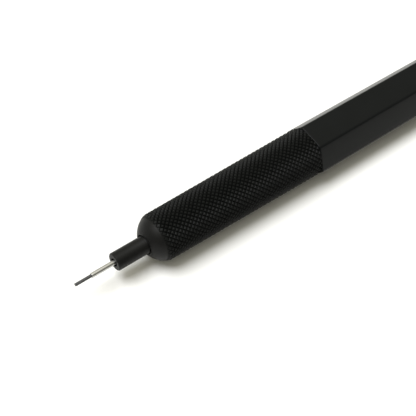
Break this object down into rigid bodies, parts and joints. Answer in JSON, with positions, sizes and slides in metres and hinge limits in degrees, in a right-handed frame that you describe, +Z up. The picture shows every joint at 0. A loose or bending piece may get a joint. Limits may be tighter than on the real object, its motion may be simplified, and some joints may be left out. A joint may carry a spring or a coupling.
{
  "type": "mechanical pencil",
  "caption": "Drafting pencil with a knurled tapered grip, a hexagonal barrel, a twist-back metal point with a guide sleeve, a clip and a push cap.",
  "frame": {"origin": "on the table, under the middle of the pencil's length", "axes": "+X from the point to the push cap, +Z up through the clip, hexagonal barrel resting flat side down"},
  "size_m": [0.142, 0.0092, 0.0099],
  "materials": {
    "black_lacquer": "satin black lacquer on brass",
    "steel": "fine turned steel",
    "brass": "turned brass",
    "rubber": "soft black rubber",
    "eraser_rubber": "white vinyl",
    "tube_plastic": "milky moulded plastic",
    "graphite": "dark graphite with a faint sheen"
  },
  "bodies": {
    "barrel": {"grip": "black_lacquer", "nose_bush": "brass", "coupling_bush": "brass", "hex_barrel": "black_lacquer", "guide_tube": "brass", "thrust_washer": "brass", "retaining_ring": "steel", "clip_band": "black_lacquer", "trim_ring": "steel"},
    "knob": {"twist_knob": "black_lacquer", "knob_ring": "rubber", "cam_sleeve": "brass"},
    "carrier": {"tip_holder": "black_lacquer", "guide_sleeve": "steel", "lead_retainer": "rubber", "spring_seat": "brass", "mechanism_tube": "brass", "follower_pins": "steel", "chuck_spring": "steel"},
    "pusher": {"chuck": "brass", "lead_tube": "tube_plastic", "eraser_cup": "brass", "spare_leads": "graphite"},
    "clutch_ring": {"clutch_ring": "brass"},
    "cap": {"push_cap": "black_lacquer"},
    "eraser": {"eraser": "eraser_rubber"},
    "lead": {"lead": "graphite"},
    "clip": {"clip_arm": "black_lacquer"}
  },
  "joints": [
    {"name": "knob_twist", "type": "hinge", "parent": "barrel", "child": "knob", "pos_m": [0.0565, 0, 0.00421], "axis": [1, 0, 0], "range_deg": [0, 180]},
    {"name": "point_retract", "type": "slide", "parent": "barrel", "child": "carrier", "axis": [1, 0, 0], "range_m": [0, 0.0126]},
    {"name": "cap_press", "type": "slide", "parent": "carrier", "child": "pusher", "axis": [-1, 0, 0], "range_m": [0, 0.0035], "stiffness_N_per_m": 1200, "springref_m": -0.002, "deforming": ["chuck_spring"]},
    {"name": "clutch_ring_slide", "type": "slide", "parent": "carrier", "child": "clutch_ring", "axis": [-1, 0, 0], "range_m": [0, 0.0008]},
    {"name": "lead_feed", "type": "slide", "parent": "pusher", "child": "lead", "axis": [-1, 0, 0], "range_m": [-0.0028, 0.007]},
    {"name": "cap_pull", "type": "slide", "parent": "pusher", "child": "cap", "axis": [1, 0, 0], "range_m": [0, 0.022]},
    {"name": "eraser_pull", "type": "slide", "parent": "pusher", "child": "eraser", "axis": [1, 0, 0], "range_m": [0, 0.008]},
    {"name": "clip_lift", "type": "hinge", "parent": "barrel", "child": "clip", "pos_m": [0.04805, 0, 0.00921], "axis": [0, 1, 0], "range_deg": [0, 4], "stiffness_Nm_per_rad": 6, "springref_deg": -0.57}
  ],
  "couplings": [
    {"joint": "knob_twist", "follows": "point_retract", "rad_per_m": 249.33},
    {"joint": "clutch_ring_slide", "follows": "cap_press", "ratio": 0.228},
    {"joint": "eraser_pull", "follows": "cap_pull", "ratio": 0.36}
  ]
}
